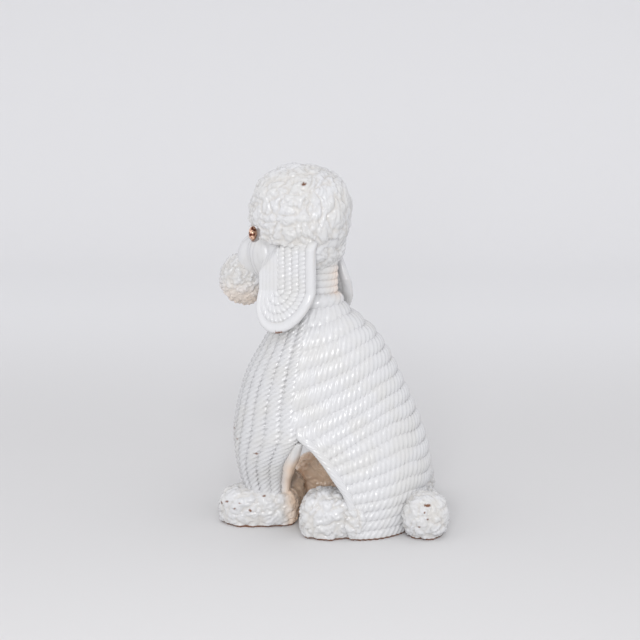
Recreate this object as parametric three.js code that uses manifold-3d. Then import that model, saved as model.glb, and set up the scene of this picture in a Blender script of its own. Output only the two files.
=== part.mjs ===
// Seated poodle figurine in white glazed earthenware, hand-built from curved clay slabs, laid clay
// ropes and curly pompoms. Millimetres. +Z is up, the dog faces -Y, its left side is +X, and it
// stands on Z = 0. Every clay piece that was formed on its own is a mesh of its own.
import * as THREE from "three";
import { mergeVertices } from "three/addons/utils/BufferGeometryUtils.js";
import Module from "manifold-3d";

const { lerp, smoothstep, degToRad } = THREE.MathUtils;
const wasm = await Module();
wasm.setup();

// Driving dimensions.
const GAP = 0.3; // clearance between neighbouring pieces
const SKIN = 1.0; // clearance under the ropes, which also takes up the flats of the facets
const ROPE = 11; // thickness of a laid clay rope
const WALL = 7; // thickness of the hollow body's slabs
const ROPE_SIDES = 6;
const COURSES = 14; // ropes that wrap the back from one flank to the other
const LEG_COURSES = 4; // short ropes of each lower hind leg, from the last course to the floor
const CHEST_ROPES = 6; // upright ropes on each side of the breastbone
const CHEST_TOP = 268;
const CHEST_BOTTOM = 112; // where the chest parts into two forelegs
const LEG_BOTTOM = 34;
const FLANK = 0.985; // how far round the wrapped ropes reach towards the flank seam at 1
const NECK_Y = -27;
const NECK_RADIUS = 31;
const NECK_FOOT = 243;
const NECK_TOP = 344;
const NECK_COIL = 7.8; // thickness of the thin rope wound round the neck
const NECK_TURNS = 8;
const HEAD_TURN = degToRad(-23); // the head looks a little to the dog's right

// Outlines of the body as [height, value] pairs: the back and the breast on the middle plane, the
// flank seam where the chest meets the wrapped ropes, the foreleg's rear edge, and the half width.
const backY = profile([
  [272, 3], [256, 22], [231, 49], [187, 74], [111, 107], [72, 117], [46, 117], [0, 107],
]);
const breastY = profile([
  [270, -58], [211, -90], [184, -105], [146, -117], [100, -123], [60, -114], [34, -104],
]);
const seamY = profile([
  [272, -26], [210, -36], [145, -43], [120, -42], [100, -21], [72, 0], [44, 16], [0, 19],
]);
const legRearY = profile([[272, -26], [210, -36], [145, -43], [116, -43], [46, -51], [34, -52]]);
const halfWidth = profile([[272, 31], [244, 46], [210, 58], [146, 70], [72, 88], [0, 96]]);
// How far a rope drops from the spine to its front end, by its height on the spine.
const courseDrop = profile([[272, 3], [228, 38], [168, 64], [118, 42], [46, 13]]);

// A smooth value that depends on height, through a few [height, value] pairs.
function profile(pairs) {
  const knots = [...pairs].sort((a, b) => a[0] - b[0]);
  const last = knots.length - 1;
  const slopeAt = (i) => {
    const [lowHeight, low] = knots[Math.max(i - 1, 0)];
    const [highHeight, high] = knots[Math.min(i + 1, last)];
    return (high - low) / (highHeight - lowHeight);
  };
  return (height) => {
    const z = THREE.MathUtils.clamp(height, knots[0][0], knots[last][0]);
    const i = Math.min(knots.findLastIndex((knot) => knot[0] <= z), last - 1);
    const [z0, from] = knots[i];
    const [z1, to] = knots[i + 1];
    const span = z1 - z0;
    const t = (z - z0) / span;
    const ease = t * t * (3 - 2 * t);
    const leaving = t * (1 - t) * (1 - t) * span * slopeAt(i);
    const arriving = t * t * (1 - t) * span * slopeAt(i + 1);
    return lerp(from, to, ease) + leaving - arriving;
  };
}

// ---- Shaping helpers ----

// Moves every corner of a three.js geometry to where place puts it and turns the faces outwards.
function moulded(geometry, place) {
  const bare = geometry.clone();
  bare.deleteAttribute("normal");
  bare.deleteAttribute("uv");
  const corners = bare.getAttribute("position");
  const corner = new THREE.Vector3();
  for (let i = 0; i < corners.count; i++) {
    const moved = place(corner.fromBufferAttribute(corners, i));
    corners.setXYZ(i, moved.x, moved.y, moved.z);
  }
  return facingOut(mergeVertices(bare, 1e-3));
}

function facingOut(geometry) {
  const corners = geometry.getAttribute("position");
  const index = geometry.getIndex();
  const [a, b, c] = [new THREE.Vector3(), new THREE.Vector3(), new THREE.Vector3()];
  const flat = [];
  let volume = 0;
  for (let i = 0; i < index.count; i += 3) {
    const [ia, ib, ic] = [index.getX(i), index.getX(i + 1), index.getX(i + 2)];
    if (ia === ib || ib === ic || ic === ia) continue;
    flat.push([ia, ib, ic]);
    a.fromBufferAttribute(corners, ia);
    b.fromBufferAttribute(corners, ib);
    c.fromBufferAttribute(corners, ic);
    volume += a.dot(b.cross(c));
  }
  geometry.setIndex(flat.flatMap(([p, q, r]) => (volume < 0 ? [p, r, q] : [p, q, r])));
  return geometry;
}

function solidOf(geometry) {
  return new wasm.Manifold(
    new wasm.Mesh({
      numProp: 3,
      vertProperties: new Float32Array(geometry.getAttribute("position").array),
      triVerts: new Uint32Array(geometry.getIndex().array),
    }),
  );
}

function geometryOf(solid) {
  const mesh = solid.getMesh();
  const geometry = new THREE.BufferGeometry();
  geometry.setAttribute("position", new THREE.BufferAttribute(mesh.vertProperties, 3));
  geometry.setIndex([...mesh.triVerts]);
  return geometry;
}

// Cuts the neighbours out of a piece, so that it is fitted against them.
function cutBack(geometry, neighbours) {
  return geometryOf(neighbours.reduce((left, other) => left.subtract(solidOf(other)), solidOf(geometry)));
}

function joined(geometry, other) {
  return geometryOf(solidOf(geometry).add(solidOf(other)));
}

// A rope-like bar. place takes the distance along it (0 to 1), across it and up from it (-1 to 1).
function bar(steps, sides, place) {
  return moulded(new THREE.CylinderGeometry(1, 1, 1, sides, steps), (p) => place(p.y + 0.5, p.x, p.z));
}

// A curved slab. place takes three fractions from 0 to 1: along, down and through.
function slab(along, down, place) {
  const block = new THREE.BoxGeometry(1, 1, 1, along, down, 1);
  return moulded(block, (p) => place(p.x + 0.5, 0.5 - p.y, p.z + 0.5));
}

// A stack of outlines. outline takes the way round (0 to 1) and the height fraction (0 to 1).
function loft(around, rows, outline) {
  return moulded(new THREE.CylinderGeometry(1, 1, 1, around, rows), (p) => {
    const height = p.y + 0.5;
    const onRim = Math.hypot(p.x, p.z) > 0.5;
    const turn = Math.round((Math.atan2(p.x, p.z) / (2 * Math.PI) + 1) * around) % around;
    if (onRim) return outline(turn / around, height);
    const middle = new THREE.Vector3();
    for (let i = 0; i < around; i++) middle.addScaledVector(outline(i / around, height), 1 / around);
    return middle;
  });
}

// A pompom or paw: a rounded pebble whose underside is flat where it meets the floor.
function pebble(centre, radii, { power = 2, around = 16, rows = 10, grow = 0 } = {}) {
  const size = radii.clone().addScalar(grow);
  return moulded(new THREE.SphereGeometry(1, around, rows), (p) => {
    const upright = new THREE.Vector3(p.x, -p.z, p.y);
    const sum = upright.toArray().reduce((total, part) => total + Math.abs(part) ** power, 0);
    upright.divideScalar(sum ** (1 / power)).multiply(size).add(centre);
    if (upright.z < -grow) upright.z = -grow;
    return upright;
  });
}

function vec(x, y, z) {
  return new THREE.Vector3(x, y, z);
}

// The point of a surface, sunk by depth along its normal. Surface takes two numbers.
function sunk(surface, u, v, depth) {
  const step = 1e-3;
  const alongU = surface(u + step, v).sub(surface(u - step, v));
  const alongV = surface(u, v + step).sub(surface(u, v - step));
  const normal = alongU.cross(alongV).normalize();
  return surface(u, v).addScaledVector(normal, -depth);
}

// The half width of a band, from -1 to 1 across it, that leaves GAP between two bands.
function bandReach(surface, u, v, halfBand) {
  const width = surface(u, v - halfBand).distanceTo(surface(u, v + halfBand));
  return halfBand * (1 - GAP / width);
}

// ---- The two surfaces that the ropes follow ----

// The wrapped body. round runs from -1 (right flank seam) over the spine (0) to 1 (left flank seam);
// course counts ropes down from the neck, and the floor is at COURSES + LEG_COURSES.
function bodySurface(round, course) {
  const back = Math.cos((round * Math.PI) / 2);
  const wrapped = Math.min(course, COURSES);
  const onSpine = 270 - 13.2 * wrapped - 0.2 * wrapped * wrapped;
  const spineSag = lerp(2, 9, wrapped / COURSES);
  const sagged = onSpine + spineSag * smoothstep(1 - back, 0, 0.25) - courseDrop(onSpine) * (1 - back);
  const legShare = Math.max(course - COURSES, 0) / LEG_COURSES;
  const z = sagged * (1 - legShare);
  const y = lerp(seamY(z), backY(z), back);
  const x = halfWidth(z) * Math.sqrt(Math.max(0, 1 - Math.abs(back) ** 2.4));
  return vec(Math.sign(round) * x, y, z);
}

// The left half of the chest and its foreleg. side runs from the flank seam (0) to the breastbone
// (1), and down from the neck (0) to inside the paw (1).
function chestSurface(side, down) {
  const z = lerp(CHEST_TOP, LEG_BOTTOM, down);
  const front = breastY(z);
  const rear = legRearY(z);
  const lean = (side * Math.PI) / 2;
  const chestHalf = Math.min(halfWidth(z), halfWidth(CHEST_BOTTOM));
  const chest = vec(chestHalf * Math.cos(lean), lerp(rear, front, Math.sin(lean)), z);
  const legShare = 1 - smoothstep(z, 44, CHEST_BOTTOM + 6);
  const wrap = degToRad(lerp(-60, 130, side));
  const legX = lerp(38, 30, legShare) + lerp(34, 21, legShare) * Math.cos(wrap);
  const legY = (front + rear) / 2 - ((rear - front) / 2) * Math.sin(wrap);
  return chest.lerp(vec(legX, legY, z), legShare);
}

function chestDownThenSide(down, side) {
  return chestSurface(side, down);
}

// A point that lies under the chest surface by depth but at the surface point's own height, so
// that a stack of such points has flat ends.
function chestInside(side, down, depth) {
  const outside = chestSurface(side, down);
  const inward = sunk(chestSurface, side, down, 1).sub(outside).setZ(0);
  return outside.addScaledVector(inward, depth / inward.lengthSq());
}

function mirrored(point, side) {
  return vec(point.x * side, point.y, point.z);
}

// ---- Pieces ----

const group = new THREE.Group();
const head = new THREE.Group();
head.position.y = NECK_Y;
head.rotation.z = HEAD_TURN;
group.add(head);

const glaze = { color: 0xf4f2ee, roughness: 0.12, metalness: 0 };
const lustre = { color: 0xa8562a, roughness: 0.2, metalness: 0.6 };

function addPiece(parent, name, geometry, finish = glaze) {
  const mesh = new THREE.Mesh(geometry, new THREE.MeshStandardMaterial(finish));
  mesh.name = name;
  parent.add(mesh);
}

const SIDES = [["left", 1], ["right", -1]];

// The right feet don't mirror the left ones exactly: its paws sit closer together and its heel
// further forward, as the potter pressed them on.
function frontPaw(side, grow) {
  const [y, reach] = side > 0 ? [-90, 47] : [-78, 40];
  return pebble(vec(29 * side, y, 18), vec(27, reach, 27), { power: 3, grow });
}

function hindPaw(side, grow) {
  const y = side > 0 ? -6 : -18;
  return pebble(vec(70 * side, y, 22), vec(26, 33, 32), { power: 2.6, grow });
}

function heelPompom(side, grow) {
  const y = side > 0 ? 108 : 98;
  return pebble(vec(68 * side, y, 23), vec(27, 27, 28), { power: 2.3, grow });
}

function tailPompom(grow) {
  return pebble(vec(0, 112, 16), vec(15, 15, 17), { around: 12, rows: 8, grow });
}

function feet() {
  for (const [name, side] of SIDES) {
    addPiece(group, `${name}_front_paw`, frontPaw(side, 0));
    addPiece(group, `${name}_hind_paw`, hindPaw(side, 0));
    addPiece(group, `${name}_heel_pompom`, heelPompom(side, 0));
  }
  addPiece(group, "tail_pompom", tailPompom(0));
}

// Everything round the hind legs that the slabs and ropes are cut back from.
const hindNeighbours = SIDES.flatMap(([, side]) => [hindPaw(side, GAP), heelPompom(side, GAP)]);
const neckPlug = () => neckColumn(NECK_RADIUS - NECK_COIL);

function bodyRope(from, to, course, steps) {
  return bar(steps, ROPE_SIDES, (t, across, up) => {
    const round = lerp(from, to, t);
    const reach = bandReach(bodySurface, round, course + 0.5, 0.5);
    const point = sunk(bodySurface, round, course + 0.5 + across * reach, ((1 - up) * ROPE) / 2);
    return point.setZ(Math.max(point.z, 0));
  });
}

function bodyRopes() {
  for (let course = 0; course < COURSES; course++) {
    const rope = cutBack(bodyRope(-FLANK, FLANK, course, 18), [...hindNeighbours, neckPlug()]);
    addPiece(group, `back_rope_${String(course + 1).padStart(2, "0")}`, rope);
  }
}

// The short ropes of the lower hind legs, from the heel pompom to the front of the thigh.
function lowerLegRopes() {
  for (const [name, side] of SIDES) {
    const heelEnd = side > 0 ? 0.41 : 0.44;
    for (let i = 0; i < LEG_COURSES; i++) {
      const rope = bodyRope(heelEnd * side, 0.97 * side, COURSES + i, 7);
      addPiece(group, `${name}_leg_rope_${i + 1}`, cutBack(rope, hindNeighbours));
    }
  }
}

function chestRopes() {
  for (const [name, side] of SIDES) {
    for (let i = 0; i < CHEST_ROPES; i++) {
      const middle = (i + 0.5) / CHEST_ROPES;
      const rope = bar(13, ROPE_SIDES, (down, across, up) => {
        const reach = bandReach(chestDownThenSide, down, middle, 0.5 / CHEST_ROPES);
        return mirrored(sunk(chestSurface, middle + across * reach, down, ((1 - up) * ROPE) / 2), side);
      });
      addPiece(group, `${name}_chest_rope_${i + 1}`, cutBack(rope, [frontPaw(side, GAP), neckPlug()]));
    }
  }
}

// The hollow body's slabs, which back the ropes all over.
function bodySlab(from, to, steps) {
  return slab(steps, 10, (along, down, through) => {
    const course = lerp(0.5, COURSES + LEG_COURSES, down);
    const point = sunk(bodySurface, lerp(from, to, along), course, ROPE + SKIN + through * WALL);
    return down === 1 ? point.setZ(0) : point;
  });
}

function bodySlabs() {
  for (const [name, side] of SIDES) {
    const half = bodySlab(0.004 * side, FLANK * side, 8);
    const piece = cutBack(half, [...hindNeighbours, tailPompom(GAP), neckPlug()]);
    addPiece(group, `${name}_body_slab`, piece);
  }
}

function chestSlabs() {
  const lowest = (CHEST_TOP - CHEST_BOTTOM) / (CHEST_TOP - LEG_BOTTOM);
  for (const [name, side] of SIDES) {
    const piece = slab(6, 7, (along, down, through) => {
      const depth = ROPE + SKIN + through * WALL;
      const point = sunk(chestSurface, lerp(0.02, 0.99, along), lerp(0.03, lowest, down), depth);
      if (down === 1) point.z = CHEST_BOTTOM;
      return mirrored(point, side);
    });
    addPiece(group, `${name}_chest_slab`, cutBack(piece, [neckPlug()]));
  }
}

// The slab that closes the belly between the two thighs, hollowed a little towards the middle.
function bellySlab() {
  const piece = slab(8, 6, (along, down, through) => {
    const z = lerp(CHEST_BOTTOM - 2, 0, down);
    const reach = halfWidth(z) - ROPE - WALL - 3 * SKIN;
    const x = lerp(-reach, reach, along);
    const hollow = 14 * (1 - (x / reach) ** 2);
    return vec(x, seamY(z) + 5 + hollow + through * WALL, z);
  });
  addPiece(group, "belly_slab", cutBack(piece, hindNeighbours));
}

// The clay inside each foreleg: sunk under the ropes outside, bare and smooth inside and behind.
function forelegs() {
  for (const [name, side] of SIDES) {
    const core = loft(18, 7, (way, height) => {
      const down = lerp(1, (CHEST_TOP - CHEST_BOTTOM + 1) / (CHEST_TOP - LEG_BOTTOM), height);
      if (way < 0.5) return mirrored(chestInside(way * 2, down, ROPE + 2 * SKIN), side);
      const breast = chestInside(1, down, ROPE + 2 * SKIN);
      breast.x = Math.max(breast.x, 2 * SKIN);
      const flank = chestSurface(-0.06, down);
      const corner = vec(6, lerp(legRearY(breast.z), breast.y, 0.1), breast.z);
      const bare = new THREE.CubicBezierCurve3(
        breast,
        breast.clone().lerp(corner, 0.75),
        flank.clone().lerp(corner, 0.75),
        flank,
      );
      return mirrored(bare.getPoint(way * 2 - 1), side);
    });
    addPiece(group, `${name}_foreleg`, cutBack(core, [frontPaw(side, GAP)]));
  }
}

function neckColumn(radius) {
  const column = new THREE.CylinderGeometry(radius, radius, NECK_TOP - NECK_FOOT, 20);
  column.rotateX(Math.PI / 2);
  column.translate(0, NECK_Y, (NECK_TOP + NECK_FOOT) / 2);
  return moulded(column, (p) => p.clone());
}

function neck() {
  addPiece(group, "neck_core", neckColumn(NECK_RADIUS - NECK_COIL - SKIN));
  const stepsPerTurn = 14;
  const pitch = NECK_COIL + GAP;
  const coil = bar(NECK_TURNS * stepsPerTurn, ROPE_SIDES, (t, across, up) => {
    const angle = 2 * Math.PI * NECK_TURNS * t;
    const radius = NECK_RADIUS + ((up - 1) * NECK_COIL) / 2;
    const z = NECK_TOP - GAP - NECK_COIL / 2 - pitch * NECK_TURNS * t + (across * NECK_COIL) / 2;
    return vec(radius * Math.cos(angle), NECK_Y + radius * Math.sin(angle), z);
  });
  addPiece(group, "neck_rope", coil);
}

// ---- The head, in its own frame: the neck's axis at the origin, still facing -Y ----

const skull = (grow) => pebble(vec(0, -32, 322), vec(44, 48, 44), { grow });
const muzzlePompom = (grow) => pebble(vec(0, -89, 286), vec(30, 30, 30), { grow });
const eye = (side, grow) =>
  pebble(vec(27 * side, -62.5, 345), vec(8.5, 8.5, 8.5), { around: 10, rows: 8, grow });
const eyes = (grow) => SIDES.map(([, side]) => eye(side, grow));

function neckRoom() {
  const room = neckColumn(NECK_RADIUS + SKIN);
  room.translate(0, -NECK_Y, GAP);
  return room;
}

function headPieces() {
  for (const [name, side] of SIDES) addPiece(head, `${name}_eye`, eye(side, 0), lustre);
  const snout = pebble(vec(0, -72, 306), vec(22, 23, 27), { around: 14, rows: 8 });
  const face = cutBack(joined(skull(0), snout), [neckRoom(), muzzlePompom(GAP), ...eyes(GAP)]);
  addPiece(head, "head_core", face);
  addPiece(head, "muzzle_pompom", muzzlePompom(0));
  const nose = pebble(vec(0, -115, 294), vec(9, 6, 7), { around: 10, rows: 6 });
  addPiece(head, "nose", cutBack(nose, [muzzlePompom(GAP)]));
}

// The topknot rests on the skull like a thick cap. Its underside rises over the eyes, and behind
// the skull its curls hang down to the nape.
function topknot() {
  const brow = -40;
  const tuft = pebble(vec(0, -13, 367), vec(57, 57, 62), { power: 2.3, around: 18, rows: 12 });
  const cap = moulded(tuft, (p) => {
    const under = NECK_TOP + GAP + 0.55 * Math.max(0, brow - p.y);
    return vec(p.x, p.y, Math.max(p.z, under));
  });
  const nape = cutBack(pebble(vec(0, 2, 337), vec(44, 33, 27)), [neckRoom()]);
  addPiece(head, "topknot", cutBack(joined(cap, nape), [skull(GAP), ...eyes(GAP)]));
}

// An ear hangs flat against the head. Its outline runs down the front edge, round the tip and up
// the rear edge, as a curve of the way round; inset draws it in towards the middle.
const EAR = { front: -42, rear: 27, top: 342, bend: 285, tip: 238, skew: 9, flare: 0.2, swing: 0.3 };
const EAR_INNER_X = 47; // the side of the flap that faces the head
const EAR_RIM = 11; // thickness of the smooth coil round the flap
const EAR_FLAP = 9;
const EAR_STEPS = 10;

function earOutline(way, inset) {
  const centreY = (EAR.front + EAR.rear) / 2;
  const reachY = (EAR.rear - EAR.front) / 2 - inset;
  const angle = Math.PI * (1 + way);
  const y = centreY + reachY * Math.cos(angle) - EAR.skew * Math.sin(Math.PI * way);
  const z = EAR.bend + (EAR.bend - EAR.tip - inset) * Math.sin(angle);
  return new THREE.Vector2(y, z);
}

function earShape(inset) {
  const shape = new THREE.Shape();
  shape.moveTo(EAR.front + inset, EAR.top);
  for (let i = 0; i <= EAR_STEPS; i++) {
    const point = earOutline(i / EAR_STEPS, inset);
    shape.lineTo(point.x, point.y);
  }
  shape.lineTo(EAR.rear - inset, EAR.top);
  return shape;
}

// The ears flare away from the head towards their tips, and the right one was pressed on at a
// slant, so that its tip swings backwards. p.z is the distance out from the head.
function onEar(p, side) {
  const flare = EAR.flare * Math.max(0, EAR.bend - p.y);
  const swing = side < 0 ? EAR.swing * (EAR.bend - p.y) : 0;
  return vec(side * (EAR_INNER_X + p.z + flare), p.x + swing, p.y);
}

function earRim() {
  const rimPoint = (way) => {
    const point = earOutline(way, EAR_RIM / 2);
    return vec(point.x, point.y, EAR_RIM / 2 - SKIN);
  };
  const start = rimPoint(0);
  const end = rimPoint(1);
  const tip = Array.from({ length: EAR_STEPS }, (_, i) => rimPoint(i / (EAR_STEPS - 1)));
  const route = new THREE.CurvePath();
  route.add(new THREE.LineCurve3(vec(start.x, EAR.top, start.z), start));
  route.add(new THREE.CatmullRomCurve3(tip));
  route.add(new THREE.LineCurve3(end, vec(end.x, EAR.top, end.z)));
  const coil = new THREE.Shape().absarc(0, 0, EAR_RIM / 2, 0, 2 * Math.PI);
  return new THREE.ExtrudeGeometry(coil, { steps: 20, curveSegments: 4, extrudePath: route });
}

function ears() {
  for (const [name, side] of SIDES) {
    const place = (p) => onEar(p, side);
    const outline = earShape(EAR_RIM + SKIN);
    const flap = new THREE.ExtrudeGeometry(outline, { depth: EAR_FLAP, bevelEnabled: false });
    addPiece(head, `${name}_ear`, cutBack(moulded(flap, place), [skull(GAP)]));
    addPiece(head, `${name}_ear_rim`, cutBack(moulded(earRim(), place), [skull(GAP)]));
  }
}

feet();
bodyRopes();
lowerLegRopes();
chestRopes();
bodySlabs();
chestSlabs();
bellySlab();
forelegs();
neck();
headPieces();
topknot();
ears();

// The origin is the middle of the footprint, on the floor.
const extent = new THREE.Box3().setFromObject(group, true);
group.position.set(-(extent.min.x + extent.max.x) / 2, -(extent.min.y + extent.max.y) / 2, 0);

export default group;
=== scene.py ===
"""Looks for the seated poodle figurine: white glazed clay ropes, curly pompoms and lustre eyes.

Every piece stands for the CAD node of the same name and follows the same surfaces, in finer detail.
Shapes are worked out in millimetres, in the CAD source's frame, and are scaled to metres and
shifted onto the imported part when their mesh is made. +Z is up, the dog faces -Y, its left is +X.
"""
import math

import bmesh
import bpy
import numpy as np
from mathutils import Matrix, Vector


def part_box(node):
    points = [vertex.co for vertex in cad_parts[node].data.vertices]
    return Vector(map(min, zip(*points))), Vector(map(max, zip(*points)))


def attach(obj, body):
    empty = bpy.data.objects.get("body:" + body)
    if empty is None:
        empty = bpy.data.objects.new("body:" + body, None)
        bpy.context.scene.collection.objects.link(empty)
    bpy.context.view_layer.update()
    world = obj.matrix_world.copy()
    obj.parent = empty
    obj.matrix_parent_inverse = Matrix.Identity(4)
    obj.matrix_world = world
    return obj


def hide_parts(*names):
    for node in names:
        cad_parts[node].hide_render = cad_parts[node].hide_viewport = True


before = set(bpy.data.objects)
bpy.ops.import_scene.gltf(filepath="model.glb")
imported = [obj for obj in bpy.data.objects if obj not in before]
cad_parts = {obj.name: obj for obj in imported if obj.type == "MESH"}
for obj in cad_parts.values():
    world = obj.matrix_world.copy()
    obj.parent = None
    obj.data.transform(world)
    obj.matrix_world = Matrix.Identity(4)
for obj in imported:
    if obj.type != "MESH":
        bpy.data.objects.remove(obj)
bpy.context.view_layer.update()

MM = 0.001

# ---- Dimensions shared with the CAD part, in millimetres ----

GAP = 0.3  # kept between pieces that touch
SKIN = 1.0  # clearance between the ropes and the clay that they lie on
ROPE = 11.0  # thickness of a laid rope
COURSES = 14  # ropes wrapped round the back
LEG_COURSES = 4  # ropes on each lower hind leg, below the wrapped ones
CHEST_ROPES = 6  # upright ropes on each half of the chest
CHEST_TOP = 268.0
CHEST_BOTTOM = 112.0  # height at which the chest divides into the two forelegs
LEG_BOTTOM = 34.0
SPINE_TOP = 270.0  # height of the first rope's upper edge on the spine
SPINE_PITCH = 13.2  # drop from one rope to the next on the spine
SPINE_WIDENING = 0.2  # and how that drop grows further down
NECK_Y = -27.0
NECK_RADIUS = 31.0
NECK_TOP = 344.0
NECK_COIL = 7.8  # thickness of the rope wound round the neck
HEAD_TURN = math.radians(-23)
SIDES = (("left", 1), ("right", -1))


def node_box(node):
    """The lowest and highest corner of a CAD node in millimetres."""
    low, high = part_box(node)
    return np.array(low) / MM, np.array(high) / MM


def node_centre(node):
    low, high = node_box(node)
    return (low + high) / 2


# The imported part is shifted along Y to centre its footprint. The neck shows by how much.
SHIFT = np.array([0.0, node_centre("neck_core")[1] - NECK_Y, 0.0])


def blend(start, end, share):
    return start + (end - start) * share


def smoothstep(value, low, high):
    share = np.clip((value - low) / (high - low), 0, 1)
    return share * share * (3 - 2 * share)


def profile(pairs):
    """A smooth value by height, through a few (height, value) pairs."""
    heights, values = (np.array(column, float) for column in zip(*sorted(pairs)))
    last = len(heights) - 1
    before = np.maximum(np.arange(last + 1) - 1, 0)
    after = np.minimum(np.arange(last + 1) + 1, last)
    slopes = (values[after] - values[before]) / (heights[after] - heights[before])

    def value_at(height):
        z = np.clip(height, heights[0], heights[-1])
        i = np.clip(np.searchsorted(heights, z, side="right") - 1, 0, last - 1)
        span = heights[i + 1] - heights[i]
        t = (z - heights[i]) / span
        leaving = t * (1 - t) ** 2 * span * slopes[i]
        arriving = t * t * (1 - t) * span * slopes[i + 1]
        return blend(values[i], values[i + 1], t * t * (3 - 2 * t)) + leaving - arriving

    return value_at


# Outlines of the seated body by height, each through a few (height, value) points.
back_y = profile([(272, 3), (256, 22), (231, 50), (187, 76), (111, 109), (72, 118), (46, 117), (0, 107)])
breast_y = profile(
    [(270, -58), (211, -90), (184, -105), (146, -117), (100, -123), (60, -114), (34, -104)]
)
seam_y = profile([(272, -26), (210, -36), (145, -43), (120, -41), (100, -20), (72, 1), (44, 17), (0, 20)])
leg_rear_y = profile([(272, -26), (210, -36), (145, -43), (116, -42), (46, -50), (34, -51)])
half_width = profile([(272, 31), (244, 46), (210, 58), (146, 70), (72, 88), (0, 95)])
course_drop = profile([(272, 3), (228, 38), (168, 64), (118, 42), (46, 13)])  # from spine to flank
BODY_SQUARENESS = 2.4  # 2 would make the wrapped body's cross-section a true ellipse


def body_surface(way, course):
    """The wrapped body. way runs from the right flank (-1) over the spine (0) to the left flank
    (1); course counts ropes down from the neck."""
    back = np.cos(way * np.pi / 2)
    wrapped = np.minimum(course, COURSES)
    on_spine = SPINE_TOP - SPINE_PITCH * wrapped - SPINE_WIDENING * wrapped**2
    spine_sag = blend(2, 9, wrapped / COURSES) * smoothstep(1 - back, 0, 0.25)
    sagged = on_spine + spine_sag - course_drop(on_spine) * (1 - back)
    z = sagged * (1 - np.maximum(course - COURSES, 0) / LEG_COURSES)
    x = np.sign(way) * half_width(z) * np.sqrt(np.maximum(0, 1 - np.abs(back) ** BODY_SQUARENESS))
    return np.stack([x, blend(seam_y(z), back_y(z), back), z], -1)


def chest_surface(side, down):
    """The left half of the chest and its foreleg. side runs from the flank seam (0) to the
    breastbone (1), and down from the neck (0) to inside the paw (1)."""
    z = blend(CHEST_TOP, LEG_BOTTOM, down)
    front = breast_y(z)
    rear = leg_rear_y(z)
    lean = side * np.pi / 2
    chest_half = np.minimum(half_width(z), half_width(CHEST_BOTTOM))
    chest = np.stack([chest_half * np.cos(lean), blend(rear, front, np.sin(lean)), z], -1)
    leg_share = 1 - smoothstep(z, 44, CHEST_BOTTOM + 6)
    wrap = np.radians(blend(-60, 130, side))
    leg_x = blend(38, 30, leg_share) + blend(34, 21, leg_share) * np.cos(wrap)
    leg_y = (front + rear) / 2 - (rear - front) / 2 * np.sin(wrap)
    return blend(chest, np.stack([leg_x, leg_y, z], -1), leg_share[..., None])


def unit(vectors):
    return vectors / np.maximum(np.linalg.norm(vectors, axis=-1, keepdims=True), 1e-9)


def sunk(surface, u, v, depth):
    """Points of a surface, sunk by depth along its normal."""
    step = 1e-3
    along_u = surface(u + step, v) - surface(u - step, v)
    along_v = surface(u, v + step) - surface(u, v - step)
    return surface(u, v) - unit(np.cross(along_u, along_v)) * np.asarray(depth)[..., None]


WAVE_COUNT = 9


def waves(points, size, seed):
    """Smooth seeded noise from about -1 to 1, with features of the given size."""
    rng = np.random.default_rng(seed)
    headings = unit(rng.normal(size=(WAVE_COUNT, 3)))
    directions = headings * rng.uniform(0.6, 1.6, (WAVE_COUNT, 1)) * 2 * np.pi / size
    phases = rng.uniform(0, 2 * np.pi, WAVE_COUNT)
    return np.sin(points @ directions.T + phases).sum(-1) / (WAVE_COUNT / 2)


# ---- Mesh making ----

head_frame = Matrix.Translation((0, NECK_Y, 0)) @ Matrix.Rotation(HEAD_TURN, 4, "Z")


def on_head(points):
    """Takes points from the head's own frame, still facing -Y, to the part's frame."""
    turn = np.array(head_frame.to_3x3())
    return points @ turn.T + np.array(head_frame.translation)


# Spots on the left side painted in bare clay colour, by node: (y, z, half length along y, half
# height). Most are chips in the glaze; the ear's is the dark line under its tip, where it meets the
# chest.
CHIPS = {
    "topknot": [(-35, 409, 3.6, 1.9)],
    "back_rope_03": [(-29, 237, 1.4, 1.2), (-17, 237, 1.2, 1.1)],
    "left_chest_rope_6": [(-120, 111, 1.2, 2.2)],
    "left_chest_rope_5": [(-116, 103, 1.4, 2.0)],
    "left_chest_rope_3": [(-90, 95, 4.0, 1.4)],
    "back_rope_13": [(14, 92, 1.3, 3.0)],
    "left_front_paw": [
        (-134, 27, 1.6, 2.6),
        (-127, 31, 2.2, 1.2),
        (-118, 24, 1.6, 1.4),
        (-99, 22, 2.4, 1.8),
        (-111, 31, 1.8, 1.0),
        (-82, 39, 1.6, 1.2),
    ],
    "left_heel_pompom": [
        (110, 43, 5.0, 1.8),
        (106, 36, 1.8, 1.4),
        (110, 28, 1.4, 1.6),
        (100, 19, 2.0, 1.2),
    ],
    "left_ear_rim": [(-62, 237.5, 9, 4.5)],
}


def chipped(name, points):
    """How bare the clay is at each point, from 0 (glazed) to 1 (chipped)."""
    bare = np.zeros(len(points))
    for y, z, along, high in CHIPS.get(name, []):
        off = np.hypot((points[:, 1] - y) / along, (points[:, 2] - z) / high)
        off += 0.25 * waves(points, 3, seed=7)
        near_side = points[:, 0] > points[:, 0].mean()
        bare = np.maximum(bare, near_side * (1 - smoothstep(off, 0.65, 0.9)))
    return bare


# How far out from the middle plane the painted warm tan reaches under the belly, and the pieces where it
# differs.
USUAL_REACH = 60
SHELTERED_REACH = {"left_foreleg": 75, "right_foreleg": 75, "right_hind_paw": 86}


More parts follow.
